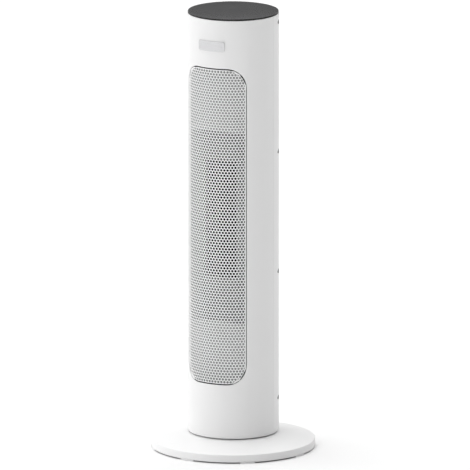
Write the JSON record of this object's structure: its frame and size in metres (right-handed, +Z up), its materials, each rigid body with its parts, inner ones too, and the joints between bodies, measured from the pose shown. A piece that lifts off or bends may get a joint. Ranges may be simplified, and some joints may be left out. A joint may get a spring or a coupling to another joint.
{
  "type": "ceramic tower heater",
  "caption": "Free-standing oscillating ceramic tower heater: a round white tower with a perforated front grille and a dark touch panel on top, turning on a low domed round base.",
  "frame": {"origin": "middle of the base's footprint, on the floor", "axes": "+Z up the tower's axis, -Y out through the warm air grille, +X to the right of someone who stands in front and faces the grille"},
  "size_m": [0.256, 0.256, 0.695],
  "materials": {
    "white_plastic": "satin moulded white ABS",
    "duct_plastic": "matt white heat-resistant plastic",
    "grille_metal": "satin light grey paint on perforated steel sheet",
    "smoke_panel": "dark smoked satin-gloss panel",
    "foot_rubber": "matt light grey rubber",
    "badge_metal": "satin brushed",
    "black_plastic": "fine-grained black",
    "grey_plastic": "matt grey glass-filled plastic",
    "acetal": "smooth natural acetal",
    "heater_fins": "dark oxidised fin stock",
    "steel": "bright turned steel",
    "zinc_steel": "zinc plated",
    "bronze": "sintered bronze",
    "circuit_board": "green solder mask",
    "filter_mesh": "fine nylon mesh",
    "lead_insulation": "braided glass-fibre sleeve"
  },
  "bodies": {
    "base": {"base_cover": "white_plastic", "base_bottom_plate": "black_plastic", "bearing_ring": "acetal", "fixed_gear": "acetal", "base_foot_1": "foot_rubber", "base_foot_2": "foot_rubber", "base_foot_3": "foot_rubber", "base_foot_4": "foot_rubber", "base_foot_5": "foot_rubber", "base_foot_6": "foot_rubber", "base_foot_7": "foot_rubber", "base_foot_8": "foot_rubber", "base_screw_1": "zinc_steel", "base_screw_2": "zinc_steel", "base_screw_3": "zinc_steel", "base_screw_4": "zinc_steel"},
    "tower": {"front_casing": "white_plastic", "rear_casing": "white_plastic", "top_panel": "smoke_panel", "top_tray": "white_plastic", "touch_board": "circuit_board", "bottom_cap": "black_plastic", "retaining_ring": "steel", "front_grille": "grille_metal", "intake_cover": "white_plastic", "dust_filter": "filter_mesh", "blank_badge": "badge_metal", "air_duct": "duct_plastic", "heater_frame": "grey_plastic", "heater_core_left": "heater_fins", "heater_core_right": "heater_fins", "thermal_cutout": "steel", "thermal_fuse": "steel", "fan_housing": "black_plastic", "fan_motor": "zinc_steel", "fan_bush": "bronze", "main_board": "circuit_board", "heater_lead_live": "lead_insulation", "heater_lead_neutral": "lead_insulation", "oscillation_motor": "zinc_steel", "tip_over_switch": "black_plastic", "switch_frame": "black_plastic", "cord_gland": "black_plastic", "case_screw_1": "zinc_steel", "case_screw_2": "zinc_steel", "case_screw_3": "zinc_steel", "case_screw_4": "zinc_steel", "case_screw_5": "zinc_steel", "case_screw_6": "zinc_steel", "case_screw_7": "zinc_steel", "case_screw_8": "zinc_steel"},
    "fan": {"fan_wheel": "black_plastic", "fan_shaft": "steel"},
    "pinion": {"drive_pinion": "acetal"},
    "rocker": {"rocker_switch": "black_plastic"}
  },
  "joints": [
    {"name": "tower_turn", "type": "hinge", "parent": "base", "child": "tower", "pos_m": [0, 0, 0.0255], "axis": [0, 0, 1], "range_deg": [-35, 35]},
    {"name": "fan_spin", "type": "hinge", "parent": "tower", "child": "fan", "pos_m": [0, 0.022, 0.37], "axis": [0, 0, 1], "continuous": true},
    {"name": "pinion_spin", "type": "hinge", "parent": "tower", "child": "pinion", "pos_m": [0, 0.034, 0.0186], "axis": [0, 0, 1], "range_deg": [-90, 90]},
    {"name": "rocker_press", "type": "hinge", "parent": "tower", "child": "rocker", "pos_m": [0, 0.0666, 0.088], "axis": [1, 0, 0], "range_deg": [0, 16]}
  ],
  "couplings": [
    {"joint": "pinion_spin", "follows": "tower_turn", "ratio": 2.5}
  ]
}
